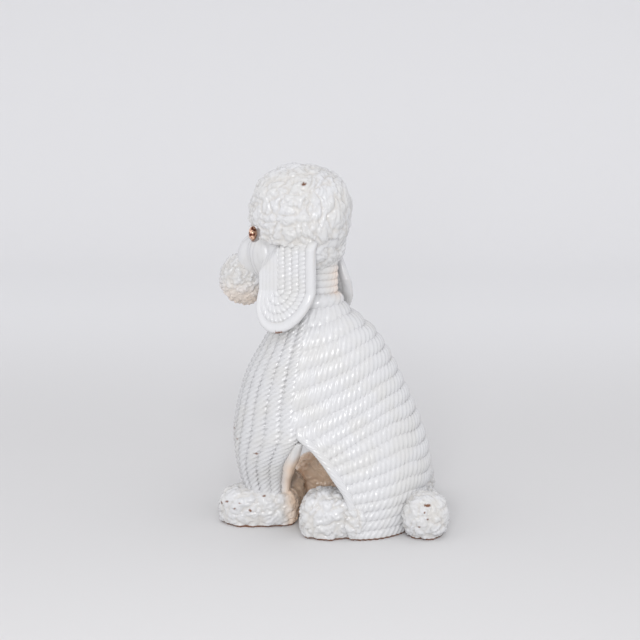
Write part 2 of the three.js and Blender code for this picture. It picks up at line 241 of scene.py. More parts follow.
def thin_glaze_bounce_share(name, points):
    """How much warm tan is painted, from 0 to 1: the sprayed glaze hardly reached under the belly and
    lies thinner behind the neck and under the muzzle, and the tan is painted brighter than the white
    glaze, as warm bounce light on these faces in shade."""
    x, y, z = np.abs(points[:, 0]), points[:, 1], points[:, 2]
    along = smoothstep(y, -66, -46) * (1 - smoothstep(y, 25, 60))
    reach = SHELTERED_REACH.get(name, USUAL_REACH)
    belly = along * (1 - smoothstep(x, reach - 20, reach)) * (1 - smoothstep(z, 96, 132))
    round_neck = smoothstep(z, 262, 280) * (1 - smoothstep(z, 300, 316))
    on_neck = (1 - smoothstep(x, 5, 30)) * (1 - smoothstep(np.abs(y - NECK_Y), 31, 38))
    neck = 0.4 * round_neck * on_neck
    patchy = 0.25 * waves(points, 22, seed=8)
    under_muzzle = 0.35 * (name == "muzzle_pompom") * (1 - smoothstep(z, 260, 292))
    return np.clip((belly + neck + under_muzzle) * (1 + patchy), 0, 1)


def add_piece(name, shells, finish):
    """Makes one piece from closed shells of (points, faces, shade) and lets it stand for the CAD
    node of that name. The shade, from 0 to 1, is painted shade, deepest in hollows and creases."""
    first = np.cumsum([0] + [len(points) for points, _, _ in shells])
    points = np.concatenate([points for points, _, _ in shells])
    faces = [
        [corner + start for corner in face] for start, shell in zip(first, shells) for face in shell[1]
    ]
    mesh = bpy.data.meshes.new(name + "_clay")
    mesh.from_pydata(((points + SHIFT) * MM).tolist(), [], faces)
    shape = bmesh.new()
    shape.from_mesh(mesh)
    bmesh.ops.recalc_face_normals(shape, faces=shape.faces)
    shape.to_mesh(mesh)
    shape.free()
    mesh.polygons.foreach_set("use_smooth", [True] * len(mesh.polygons))
    painted_shade = np.concatenate([painted_shade for _, _, painted_shade in shells])
    layers = {"painted_shade": painted_shade, "bare": chipped(name, points), "thin_glaze_bounce": thin_glaze_bounce_share(name, points)}
    for label, values in layers.items():
        attribute = mesh.attributes.new(label, "FLOAT", "POINT")
        attribute.data.foreach_set("value", values.astype(np.float32))
    mesh.materials.append(finish)
    piece = bpy.data.objects.new(name + "_clay", mesh)
    bpy.context.scene.collection.objects.link(piece)
    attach(piece, "root")
    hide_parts(name)


def tube(rings):
    """Points and faces of a closed tube through rings of points, shape (rings, around, 3)."""
    count, around = rings.shape[:2]
    points = np.concatenate([rings.reshape(-1, 3), rings[0].mean(0)[None], rings[-1].mean(0)[None]])
    ring = np.arange(around)
    following = (ring + 1) % around
    start = np.arange(count - 1)[:, None] * around
    corners = [start + ring, start + following, start + around + following, start + around + ring]
    sides = np.stack(corners, -1).reshape(-1, 4).tolist()
    first, last, top = count * around, count * around + 1, (count - 1) * around
    caps = [[first, b, a] for a, b in zip(ring.tolist(), following.tolist())]
    caps += [[last, top + a, top + b] for a, b in zip(ring.tolist(), following.tolist())]
    return points, sides + caps


def lengths_along(points):
    return np.concatenate([[0], np.cumsum(np.linalg.norm(np.diff(points, axis=0), axis=1))])


# ---- Clay ropes ----

ROPE_AROUND = 22  # points round a rope
ROPE_STEP = 0.8  # distance between two rings of points along it
FIBRE_RELIEF = 0.02
ROPE_END = 5.0  # length over which a rope is rounded off
TWIST_PITCH = 6.8  # distance between two strands of a laid rope
# Ropes press into their neighbours: half width of a rope as a share of its own band.
OVERLAP = 1.32
SPINE_OVERLAP = 1.14
FLANK_OVERLAP = 1.48
LEG_BARE = 0.12  # share of the way round a foreleg, at its rear, that the chest ropes leave bare
FLANK_REACH = 1.04  # the upper ropes run on a little under the chest ropes
HAUNCH_REACH = 0.99  # and the lower ones end where the haunch turns inwards
LEG_ROPE_START, LEG_ROPE_END = 0.16, 0.97  # the lower leg's ropes, as ways from spine to flank


def rope_shell(place, pitch, seed, hand=1, relief=0.2, strands=2, around=ROPE_AROUND):
    """A closed twisted rope. place takes the distance along it (0 to 1), across it and up from it
    (-1 to 1). pitch is the distance between two grooves along it; hand is 1 or -1, the way that
    the strands turn."""
    rough = np.linspace(0, 1, 60)
    length = lengths_along(place(rough, 0 * rough, 0 * rough))[-1]
    t = np.linspace(0, 1, max(8, round(length / ROPE_STEP)))
    middle = place(t, 0 * t, 0 * t)
    run = lengths_along(middle)
    angle = np.arange(around) * 2 * np.pi / around
    twist = run + waves(middle, 34, seed)
    phase = strands * angle + hand * 2 * np.pi * twist[:, None] / pitch
    groove = 1 - np.abs(np.sin(phase / 2)) ** 0.75
    fibre = np.sin(3 * phase + 1.3)
    to_end = np.minimum(np.minimum(run, run[-1] - run) / ROPE_END, 1)
    rounding = np.sqrt(np.maximum(1 - (1 - to_end) ** 2, 0.04))
    swell = rounding * (1.03 + 0.03 * waves(middle, 15, seed + 1))
    radius = swell[:, None] * (1 - relief * groove + FIBRE_RELIEF * fibre)
    across = radius * np.cos(angle)
    up = radius * np.sin(angle)
    rings = place(t[:, None], across, up)
    points, faces = tube(rings)
    points += 0.12 * waves(points, 4, seed + 2)[:, None] * unit(points - points.mean(0))
    # Painted shade in the grooves between the strands and down the rope's sides, where it turns under.
    depth = smoothstep(np.abs(across), 0.62, 0.84)
    painted_shade = 0.45 * groove + 0.35 * depth
    return points, faces, np.concatenate([painted_shade.ravel(), [1, 1]])


def band_reach(surface, u, v, half_band):
    """Half the width of a rope's band, less the gap that it keeps from its neighbours."""
    width = np.linalg.norm(surface(u, v - half_band) - surface(u, v + half_band), axis=-1)
    return half_band * (1 - GAP / np.maximum(width, GAP))


def body_rope(start, end, course, seed):
    """A rope round the body, from way start to way end."""

    def place(t, across, up):
        way = blend(start, end, t)
        middle = course + 0.5
        reach = band_reach(body_surface, way, middle + 0 * way, 0.5)
        reach = reach * blend(SPINE_OVERLAP, FLANK_OVERLAP, smoothstep(np.abs(way), 0.08, 0.55))
        way = way + 0 * across
        return sunk(body_surface, way, middle + across * reach, (1 - up) * ROPE / 2)

    return rope_shell(place, TWIST_PITCH, seed, strands=4, relief=0.27)


def bare_flank(z):
    """The share of the way round a foreleg, from the rear, that no chest rope covers."""
    return LEG_BARE * (1 - smoothstep(z, 70, 125))


def chest_rope(index, side, seed):
    """An upright rope of the chest and foreleg; index 0 is the one at the flank."""
    middle = (index + 0.5) / CHEST_ROPES

    def across_chest(u, v):
        return chest_surface(v, u)

    def place(t, across, up):
        reach = band_reach(across_chest, t, middle + 0 * t, 0.5 / CHEST_ROPES)
        down = t + 0 * across
        first_rope = bare_flank(blend(CHEST_TOP, LEG_BOTTOM, down))
        around = blend(first_rope, 1, middle + across * reach * OVERLAP)
        points = sunk(chest_surface, around, down, (1 - up) * ROPE / 2)
        return points * [side, 1, 1]

    return rope_shell(place, TWIST_PITCH, seed, hand=side, strands=6, relief=0.42)


def neck_rope_shell(turns, pitch):
    """The slender rope that winds down round the neck."""

    def place(t, across, up):
        angle = 2 * np.pi * turns * t
        radius = NECK_RADIUS + (up - 1) * NECK_COIL / 2
        z = NECK_TOP - GAP - NECK_COIL / 2 - pitch * turns * t + across * NECK_COIL / 2 * OVERLAP
        ones = np.ones_like(across * angle)
        return np.stack([radius * np.cos(angle), NECK_Y + radius * np.sin(angle), z * ones], -1)

    return rope_shell(place, pitch=6.0, seed=900, relief=0.2, around=14)


COLLAR_RADIUS, COLLAR_Z = 28, 267
COLLAR_HALF = 10  # half the collar's thickness
COLLAR_TILT = 3


def collar_shell():
    """The thick rope that was pressed round the foot of the neck."""

    def place(t, across, up):
        angle = np.pi + 2 * np.pi * t + 0 * across
        out = COLLAR_RADIUS + COLLAR_HALF * up
        z = COLLAR_Z + COLLAR_HALF * across + COLLAR_TILT * np.cos(angle)
        return np.stack([np.cos(angle) * out, NECK_Y + np.sin(angle) * out, z], -1)

    return rope_shell(place, pitch=7.6, seed=61, strands=4, relief=0.16)


# The combed clay along the front of the haunch: the piece that it belongs to, where it starts and
# ends, its middle and half width as ways round the body, and half its thickness.
EDGE_COURSE = 10
EDGE_START, EDGE_END = 6.6, COURSES + 0.8
EDGE_WAY, EDGE_HALF_WIDTH = 0.975, 0.036
EDGE_HALF = 4.5
EDGE_PROUD = 1  # how far it stands out of the body's surface


def haunch_edge(side, seed):
    """The combed clay that runs down the front edge of the haunch and covers the rope ends."""

    def place(t, across, up):
        course = blend(EDGE_START, EDGE_END, t) + 0 * across
        way = side * (EDGE_WAY + EDGE_HALF_WIDTH * across)
        return sunk(body_surface, way + 0 * course, course, (1 - up) * EDGE_HALF - EDGE_PROUD)

    return rope_shell(place, pitch=9.0, seed=seed, hand=-side, strands=9, relief=0.2, around=36)


def above_floor(shell):
    """Flattens a shell where it would reach under the floor."""
    points, faces, painted_shade = shell
    points[:, 2] = np.maximum(points[:, 2], 0)
    return points, faces, painted_shade


def ropes(glaze):
    """All the laid ropes. The collar and the combed edges belong to a back rope each."""
    for course in range(COURSES):
        reach = blend(FLANK_REACH, HAUNCH_REACH, smoothstep(course, 5, 7))
        shells = [body_rope(-reach, reach, course, seed=10 * course)]
        if course == 0:
            shells.append(collar_shell())
        if course == EDGE_COURSE:
            shells += [haunch_edge(side, seed=830 + side) for _, side in SIDES]
        add_piece(f"back_rope_{course + 1:02d}", shells, glaze)
    for name, side in SIDES:
        for i in range(LEG_COURSES):
            ends = LEG_ROPE_START * side, LEG_ROPE_END * side
            shell = body_rope(*ends, COURSES + i, seed=300 + 10 * i + side)
            add_piece(f"{name}_leg_rope_{i + 1}", [above_floor(shell)], glaze)
        for i in range(CHEST_ROPES):
            shell = chest_rope(i, side, seed=500 + 10 * i + side)
            add_piece(f"{name}_chest_rope_{i + 1}", [shell], glaze)
    add_piece("neck_rope", [neck_rope_shell(turns=8.9, pitch=8.1)], glaze)


# ---- Curly clay ----


def ball(subdivisions):
    """Directions and faces of an even ball."""
    shape = bmesh.new()
    bmesh.ops.create_icosphere(shape, subdivisions=subdivisions, radius=1)
    directions = np.array([v.co for v in shape.verts])
    faces = np.array([[v.index for v in f.verts] for f in shape.faces])
    shape.free()
    return unit(directions), faces


def normals_of(points, faces):
    """The outward normal at each point of a triangle mesh."""
    corners = points[faces]
    across = np.cross(corners[:, 1] - corners[:, 0], corners[:, 2] - corners[:, 0])
    total = np.zeros_like(points)
    for i in range(3):
        np.add.at(total, faces[:, i], across)
    return unit(total)


def billows(points, size, seed):
    """Soft random lumps of about the given size, from 0 in their creases to 1 on their crests."""
    bends = np.stack([waves(points, 1.7 * size, seed + i) for i in range(3)], -1)
    field = np.abs(waves(points + 0.35 * size * bends, 2 * size, seed + 3))
    return np.minimum(field / 0.8, 1) ** 0.8


def curled(points, faces, size, height, seed, stretch=1.0):
    """Raises a surface into tangled curls of clay. Returns the points and the painted shade at
    each of them, deepest in the creases between the curls."""
    where = (points - points.mean(0)) * stretch
    coarse = billows(where, size, seed)
    middling = billows(where, size * 0.52, seed + 10)
    fine = billows(where, size * 0.27, seed + 20)
    raised = 0.5 * coarse + 0.32 * middling + 0.18 * fine
    moved = points + height * (raised - 0.42)[:, None] * normals_of(points, faces)
    painted_shade = np.clip(0.8 * (1 - coarse) ** 2 + 0.5 * (1 - middling) ** 2 + 0.35 * (1 - fine) ** 2, 0, 1)
    return moved, painted_shade


def lump(centre, radii, curl, height, seed, power=2.0):
    """A closed ball of curly clay, flat where it would reach under the floor. Its curls are curl
    wide and height high, and a power over 2 makes it squarer."""
    directions, faces = ball(6)
    size = (np.abs(directions) ** power).sum(1, keepdims=True) ** (1 / power)
    points, painted_shade = curled(directions / size * radii + centre, faces, curl, height, seed)
    points[:, 2] = np.maximum(points[:, 2], 0)
    return points, faces.tolist(), painted_shade


FEET = {
    # piece: (upright radius, squareness, curl size, relief height)
    "front_paw": (27, 3.0, 15, 5.5),
    "hind_paw": (32, 2.6, 13, 5.5),
    "heel_pompom": (28, 2.3, 11, 5.0),
}


def foot(name, upright, power, curl, height, seed):
    """A paw or pompom as wide and long as its CAD node. It would reach under the floor, which
    flattens it."""
    low, high = node_box(name)
    centre = (low + high) / 2 - SHIFT
    centre[2] = high[2] - upright
    radii = (high - low) / 2
    radii[2] = upright
    return lump(centre, radii, curl, height, seed, power)


TUFT_X, TUFT_Z = 84.0, 21.0
TUFT_BACK = 2  # from the rear of the paw forwards to the tuft's middle
TUFT_RADII = np.array([13.0, 15.0, 23.0])


def paw_tuft(name, side, seed):
    """Curls that run on from the back of a hind paw over the ends of the leg's ropes."""
    _, high = node_box(f"{name}_hind_paw")
    centre = np.array([TUFT_X * side, (high - SHIFT)[1] - TUFT_BACK, TUFT_Z])
    return lump(centre, TUFT_RADII, 11, 4.5, seed)


def feet(glaze):
    """The four paws, the two heel pompoms and the tail pompom."""
    for side_seed, (name, side) in enumerate(SIDES):
        for kind_seed, (kind, shape) in enumerate(FEET.items()):
            shells = [foot(f"{name}_{kind}", *shape, seed=40 + 10 * kind_seed + side_seed)]
            if kind == "hind_paw":
                shells.append(paw_tuft(name, side, seed=90 + side_seed))
            add_piece(f"{name}_{kind}", shells, glaze)
    tail = foot("tail_pompom", 17, 2.0, 9, 4.0, seed=80)
    add_piece("tail_pompom", [tail], glaze)


# ---- Head ----


def ellipsoid_reach(origin, directions, centre, radii):
    """How far rays from a point inside an ellipsoid run before they leave it."""
    start = (np.array(origin) - centre) / radii
    heading = directions / radii
    a = (heading**2).sum(1)
    b = (heading * start).sum(1)
    c = (start**2).sum() - 1
    inside = b * b - a * c
    return np.where(inside > 0, (-b + np.sqrt(np.maximum(inside, 0))) / a, 0)


def soft_max(a, b, width):
    """The larger of a and b, rounded off where they differ by less than width."""
    share = np.clip(0.5 + (a - b) / (2 * width), 0, 1)
    return blend(b, a, share) + width * share * (1 - share)


EYE = np.array([27.0, -62.5, 345.0])  # middle of the left bead eye, in the head's own frame
EYE_ROOM = 9.4  # radius that the clay leaves open in front of a bead eye
EYE_OUTWARDS = np.array([0.92, 0.39, 0.22])


def clear_of_eyes(points):
    """Pushes clay aside that would cover a bead eye when it is seen from the side."""
    for _, side in SIDES:
        outwards = unit(EYE_OUTWARDS * [side, 1, 1])
        from_eye = points - EYE * [side, 1, 1]
        along = np.maximum(from_eye @ outwards, 0)[:, None] * outwards
        apart = np.linalg.norm(from_eye - along, axis=1, keepdims=True)
        points = points + (from_eye - along) / np.maximum(apart, 1) * np.maximum(EYE_ROOM - apart, 0)
    return points


# Middle and radii of the ellipsoids that the head core is blended from, and a point inside all.
SKULL = [0, -32, 322], [44, 48, 44]
SNOUT = [0, -73, 311], [23, 24, 31]
CORE_NAPE = [0, 4, 346], [38, 36, 24]
CORE_ORIGIN = np.array([0.0, -52.0, 316.0])


def head_core(glaze):
    """Skull, snout and nape in one, with combed strands that run from the brow to the muzzle."""
    directions, faces = ball(6)
    skull, snout, nape = (
        ellipsoid_reach(CORE_ORIGIN, directions, *shape) for shape in (SKULL, SNOUT, CORE_NAPE)
    )
    points = CORE_ORIGIN + directions * soft_max(soft_max(skull, snout, 7), nape, 6)[:, None]
    normals = normals_of(points, faces)
    front = smoothstep(-points[:, 1], 34, 60)
    around = np.arctan2(points[:, 0], -points[:, 1] - 30)
    comb = np.abs(np.sin(15 * around + 0.8 * waves(points, 26, 3)))
    points += normals * (0.9 * front * (comb**0.8 - 0.6))[:, None]
    curls = billows(points * [1, 1, 0.6], 13, seed=33)
    points += normals * (5 * (1 - front) * (curls - 0.5))[:, None]
    points = clear_of_eyes(points)
    # Painted shade in the grooves of the combed strands and in the creases between the curls.
    painted_shade = front * (1 - comb) ** 2 * 0.6 + 0.5 * (1 - front) * (1 - curls) ** 2
    add_piece("head_core", [(on_head(points), faces.tolist(), painted_shade)], glaze)


def muzzle(glaze):
    """The pompom round the muzzle, with painted shade underneath, and the plain nose in it."""
    low, high = node_box("muzzle_pompom")
    points, faces, painted_shade = lump((low + high) / 2 - SHIFT, (high - low) / 2, 10, 6.5, seed=91)
    # Painted shade, growing towards the pompom's underside.
    shade = 0.7 * smoothstep(-(points[:, 2] - points[:, 2].mean()), 4, 26)
    add_piece("muzzle_pompom", [(points, faces, np.clip(1.3 * painted_shade + shade, 0, 1))], glaze)
    low, high = node_box("nose")
    directions, faces = ball(4)
    points = directions * (high - low) / 2 * 0.97 + (low + high) / 2 - SHIFT
    points += 0.25 * unit(points - points.mean(0)) * waves(points, 7, 5)[:, None]
    add_piece("nose", [(points, faces.tolist(), np.zeros(len(points)))], glaze)


CAP, CAP_RADII = [0, -15, 366], [57, 57, 60]
CAP_SQUARENESS = 2.3  # 2 would make the cap a true ellipsoid
BROW = 44  # how far in front of the neck the cap's underside starts to rise over the eyes
NAPE = np.array([0.0, 3.0, 335.0])  # middle of the curls that hang behind the neck
NAPE_RADII = np.array([46.0, 30.5, 29.0])


def topknot(glaze):
    """A thick cap of mixed curls, fine in front and in tall hanging lobes behind."""
    directions, faces = ball(7)
    square = (np.abs(directions) ** CAP_SQUARENESS).sum(1, keepdims=True) ** (1 / CAP_SQUARENESS)
    points = directions / square * CAP_RADII + CAP
    over_ears = 6 * smoothstep(np.abs(points[:, 0]), 22, 42) * smoothstep(points[:, 1], -55, -15)
    under = NECK_TOP + GAP - over_ears + 0.75 * np.maximum(0, -points[:, 1] - BROW)
    points[:, 2] = soft_max(points[:, 2], under, 5)
    behind = smoothstep(points[:, 1], 5, 32)[:, None]
    stretch = blend(np.array([1.0, 1.0, 1.1]), np.array([0.75, 0.75, 0.45]), behind)
    lobes = behind[:, 0] * billows(points * [1, 1, 0.55], 26, seed=95)
    points += 5 * (lobes - 0.3 * behind[:, 0])[:, None] * normals_of(points, faces)
    points, painted_shade = curled(points, faces, 12, 6.0, seed=101, stretch=stretch)
    nape, nape_faces, nape_painted_shade = lump(NAPE, NAPE_RADII, 13, 6.0, seed=97, power=2.7)
    cap = on_head(clear_of_eyes(points))
    shells = [(cap, faces.tolist(), painted_shade), (on_head(nape), nape_faces, nape_painted_shade)]
    add_piece("topknot", shells, glaze)


# An ear hangs like a tongue: straight edges down to the bend, then a round tip.
EAR_FRONT, EAR_REAR, EAR_TOP, EAR_BEND, EAR_TIP = -43.5, 27.0, 342.0, 285.0, 238.0
EAR_SKEW = 9  # how far the round tip is pulled forwards
EAR_OUT = 44  # from the middle plane out to the ear's inner face
EAR_FLARE = 0.3  # how fast the tip stands off, per mm below the bend
EAR_SWING = 0.4  # how fast the slanted right ear swings backwards, per mm below the bend
EAR_ARM = 114.0  # height of a straight arm per unit of way, so that ropes are even
EAR_CORE = np.array([-20.0, 288.0])  # the ropes bend round this point of the ear
EAR_HIDDEN = 3.0  # how far the ropes run on past the top of the ear
EAR_TUCK = 336.0  # height from which the rear of the ear bends in under the topknot
EAR_ROPES = (0.0, 0.19, 0.38, 0.57, 0.76)  # edges of the ropes, from the core (0) to the outline (1)
FILLING_OUT, FILLING_HALF, FILLING_HALF_WIDTH = 4, 4.2, 3.2  # the short rope in the middle


def ear_ring(way, out):
    """A point (y, z) of a U round the ear: way runs down the front (below 0), round the tip (0
    to 1) and up the rear; out runs from the core (0) to the outline (1)."""
    bend = np.clip(way, 0, 1)
    arm = (np.maximum(-way, 0) + np.maximum(way - 1, 0)) * EAR_ARM
    angle = np.pi * (1 + bend)
    middle, reach = (EAR_FRONT + EAR_REAR) / 2, (EAR_REAR - EAR_FRONT) / 2
    y = middle + reach * np.cos(angle) - EAR_SKEW * np.sin(np.pi * bend)
    crowded = 1 - (1 - out) ** 1.2  # towards the front edge the ropes crowd together
    out = blend(crowded, out, smoothstep(bend, 0.1, 0.6))
    z = EAR_BEND + (EAR_BEND - EAR_TIP) * np.sin(angle)
    return blend(EAR_CORE[0], y, out), blend(EAR_CORE[1], z, out) + arm


def swing(side, z):
    """How far the slanted right ear swings backwards at a height."""
    return EAR_SWING * (EAR_BEND - z) if side < 0 else 0


def ear_rope(side, inner, outer, thick, raise_by, wide, **twist):
    """A rope laid as a U in the ear, between two outlines. It is nearly smooth down the front arm
    and well twisted from the tip on."""
    middle, half = (inner + outer) / 2, (outer - inner) / 2
    top = (EAR_TOP + EAR_HIDDEN - EAR_BEND) / EAR_ARM

    def place(t, across, up):
        y, z = ear_ring(blend(-top, 1 + top, t), np.clip(middle + half * across * wide, 0, 1))
        tuck = EAR_TUCK + 1.1 * np.minimum(0, y + 15)  # lower in front, where the ear meets the cheek
        flare = EAR_FLARE * np.maximum(0, EAR_BEND - z) - 0.8 * np.maximum(0, z - tuck)
        grooved = blend(0.2, 1, smoothstep(t, 0.28, 0.48))
        raised = np.where(up > 0, 1 - grooved + grooved * up, 0.6 * up)
        raised = raised * np.minimum(thick, 3.5 + 4 * grooved)
        x = side * (EAR_OUT + raise_by + raised + flare)
        return on_head(np.stack([x, y + swing(side, z), z], -1))

    return rope_shell(place, **twist)


def ear_filling(side, seed):
    """The short straight rope in the middle of the ear."""

    def place(t, across, up):
        z = blend(EAR_TUCK, EAR_CORE[1] - 4, t) + 0 * across
        y = EAR_CORE[0] + FILLING_HALF_WIDTH * across + swing(side, z)
        x = side * (EAR_OUT + FILLING_OUT + FILLING_HALF * up + 0 * z)
        return on_head(np.stack([x, y, z], -1))

    return rope_shell(place, pitch=5.4, seed=seed, hand=side, relief=0.2, around=14)


def ears(glaze):
    """Each ear is a flap of nested U-shaped ropes with a smooth, thicker rim round it."""
    for name, side in SIDES:
        laid = dict(thick=4.2, raise_by=4.6, wide=1.3, pitch=5.4, hand=side, relief=0.26, around=18)
        inner = [
            ear_rope(side, low, high, seed=600 + 10 * i + side, **laid)
            for i, (low, high) in enumerate(zip(EAR_ROPES, EAR_ROPES[1:]))
        ]
        add_piece(f"{name}_ear", [*inner, ear_filling(side, seed=680 + side)], glaze)
        smooth = dict(thick=6.6, raise_by=4.8, wide=1.12, pitch=60.0, relief=0.02)
        rim = ear_rope(side, EAR_ROPES[-1], 1.0, seed=700 + side, **smooth)
        add_piece(f"{name}_ear_rim", [rim], glaze)


EYE_LIFT = 2.0  # how far the beads stand out of the clay that they were pressed into
EYE_SHAPE = [0.9, 0.6, 1.02]  # the flattened bead, as shares of its CAD node


def eyes(lustre):
    """Two flattened beads of lustred clay."""
    for seed, (name, _) in enumerate(SIDES):
        low, high = node_box(f"{name}_eye")
        directions, faces = ball(5)
        middle = (low + high) / 2
        raised = EYE_LIFT * unit(middle - node_centre("head_core"))
        points = directions * (high - low) / 2 * EYE_SHAPE + middle + raised - SHIFT
        points += 0.3 * directions * waves(points, 5, 120 + seed)[:, None]
        add_piece(f"{name}_eye", [(points, faces.tolist(), np.zeros(len(points)))], lustre)


# ---- Bare clay surfaces ----


LEG_WEB = 12.0  # how far the bare rear face of a foreleg bulges towards the belly


def forelegs(glaze):
    """The smooth inside and rear of each foreleg, which the chest ropes cover outside."""
    ring = np.linspace(0, 1, 64, endpoint=False)
    lowest = (CHEST_TOP - CHEST_BOTTOM + 1) / (CHEST_TOP - LEG_BOTTOM)
    for name, side in SIDES:
        rings = []
        for down in np.linspace(lowest, 1, 40):
            covered = np.clip(ring * 2, 0, 1)
            bare_share = bare_flank(blend(CHEST_TOP, LEG_BOTTOM, down))
            depth = (ROPE + 2 * SKIN) * smoothstep(covered, 0, max(2.2 * bare_share, 0.001))
            outside = sunk(chest_surface, covered, down + 0 * covered, depth)
            breast = sunk(chest_surface, np.array(1.0), np.array(down), np.array(ROPE + 2 * SKIN))
            breast[0] = max(breast[0], 2 * SKIN)
            flank = chest_surface(np.array(-0.06), np.array(down))
            web = LEG_WEB * smoothstep(flank[2], 44, 84)
            corner = np.array([6, blend(leg_rear_y(breast[2]), breast[1], 0.1), breast[2]])
            t = np.clip(ring * 2 - 1, 0, 1)[:, None]
            near, far = blend(breast, corner, 0.75), blend(flank, corner, 0.75)
            bare = breast * (1 - t) ** 3 + 3 * near * t * (1 - t) ** 2
            bare = bare + 3 * far * t * t * (1 - t) + flank * t**3
            bare[:, 1] += web * np.sin(np.pi * t[:, 0])
            rings.append(np.where(ring[:, None] < 0.5, outside, bare) * [side, 1, 1])
        points, faces = tube(np.array(rings))
        points += 0.5 * waves(points, 24, 31)[:, None] * [1, 1, 0]
        # Painted shade: the whole bare inside and rear of the foreleg is painted a little darker.
        add_piece(f"{name}_foreleg", [(points, faces, np.full(len(points), 0.45))], glaze)


# ---- Finishes ----


def add_node(tree, kind, **settings):
    """A new shader node with the given settings."""
    made = tree.nodes.new(kind)
    for key, value in settings.items():
        setattr(made, key, value)
    return made


def mix_colours(tree, share, first, second):
    """A mix of two colours, each a constant or another node's output."""
    mix = add_node(tree, "ShaderNodeMix", data_type="RGBA")
    tree.links.new(share, mix.inputs["Factor"])
    for socket, colour in ((mix.inputs[6], first), (mix.inputs[7], second)):
        if isinstance(colour, tuple):
            socket.default_value = (*colour, 1)
        else:
            tree.links.new(colour, socket)
    return mix.outputs[2]


def ranged(tree, value, from_low, from_high, to_low=0.0, to_high=1.0):
    """A smooth step of an output from one range to another."""
    remap = add_node(tree, "ShaderNodeMapRange", interpolation_type="SMOOTHSTEP")
    tree.links.new(value, remap.inputs["Value"])
    for label, number in (
        ("From Min", from_low), ("From Max", from_high), ("To Min", to_low), ("To Max", to_high)
    ):
        remap.inputs[label].default_value = number
    return remap.outputs["Result"]


def larger(tree, first, second):
    """The larger of two outputs."""
    pick = add_node(tree, "ShaderNodeMath", operation="MAXIMUM")
    tree.links.new(first, pick.inputs[0])
    tree.links.new(second, pick.inputs[1])
    return pick.outputs[0]


def noise(tree, where, scale, detail=3.0):
    """Noise from about 0 to 1, with scale features per metre."""
    texture = add_node(tree, "ShaderNodeTexNoise")
    tree.links.new(where, texture.inputs["Vector"])
    texture.inputs["Scale"].default_value = scale
    texture.inputs["Detail"].default_value = detail
    return texture.outputs["Fac"]


def attribute(tree, name):
    """The values by point that add_piece wrote under a name."""
    return add_node(tree, "ShaderNodeAttribute", attribute_name=name).outputs["Fac"]


GLAZE_THICK = (0.674, 0.676, 0.684)
GLAZE_THIN = (0.659, 0.656, 0.648)
# Colour of the painted shade in hollows and creases.
HOLLOW_SHADE = (0.63, 0.607, 0.573)
# Tan of thinly glazed clay, painted brighter than the white glaze as warm bounce light in shade.
THIN_GLAZE_BOUNCE_TAN = (1.0, 0.765, 0.575)
BARE_CLAY = (0.19, 0.085, 0.045)
# Near-black of the dark reflections painted into the copper lustre.
COPPER_DARK_REFLECTION = (0.16, 0.04, 0.02)
COPPER = (1.0, 0.66, 0.48)
# Painted light on the floor: darker near the object, lighter towards the wall.
FLOOR_NEAR = (0.68, 0.676, 0.674)
FLOOR_FAR = (0.80, 0.80, 0.805)


def white_glaze():
    """Thick glossy white glaze that bares brown clay at the base, with painted shade in hollows and
    painted warm bounce light over thinly glazed faces in shade.
    """
    finish = bpy.data.materials.new("white_glaze")
    finish.use_nodes = True
    tree = finish.node_tree
    shader = tree.nodes["Principled BSDF"]
    where = add_node(tree, "ShaderNodeTexCoord").outputs["Object"]
    height = add_node(tree, "ShaderNodeSeparateXYZ")
    tree.links.new(where, height.inputs[0])
    patches = ranged(tree, noise(tree, where, 28), 0.42, 0.62)
    body = mix_colours(tree, patches, GLAZE_THICK, GLAZE_THIN)
    # Painted shade: hollows and creases are painted darker and greyer.
    hollow = ranged(tree, attribute(tree, "painted_shade"), 0.3, 1.0, 0.0, 0.7)
    hollow_shaded = mix_colours(tree, hollow, body, HOLLOW_SHADE)
    # Painted warm bounce light over the tan of thinly glazed faces under the belly, behind the neck and
    # under the muzzle.
    bounce_tinted = mix_colours(tree, attribute(tree, "thin_glaze_bounce"), hollow_shaded, THIN_GLAZE_BOUNCE_TAN)
    foot_edge = ranged(tree, height.outputs["Z"], 0.0026, 0.0016)
    bare = larger(tree, attribute(tree, "bare"), foot_edge)
    tree.links.new(mix_colours(tree, bare, bounce_tinted, BARE_CLAY), shader.inputs["Base Color"])
    gloss = ranged(tree, noise(tree, where, 90), 0.35, 0.7, 0.10, 0.2)
    rough = add_node(tree, "ShaderNodeMix")
    tree.links.new(bare, rough.inputs[0])
    tree.links.new(gloss, rough.inputs[2])
    rough.inputs[3].default_value = 0.85
    tree.links.new(rough.outputs[0], shader.inputs["Roughness"])
    ripples = add_node(tree, "ShaderNodeBump")
    ripples.inputs["Strength"].default_value = 0.35
    ripples.inputs["Distance"].default_value = 0.0006
    tree.links.new(noise(tree, where, 420, 2.0), ripples.inputs["Height"])
    tree.links.new(ripples.outputs["Normal"], shader.inputs["Normal"])
    shader.inputs["IOR"].default_value = 1.5
    return finish


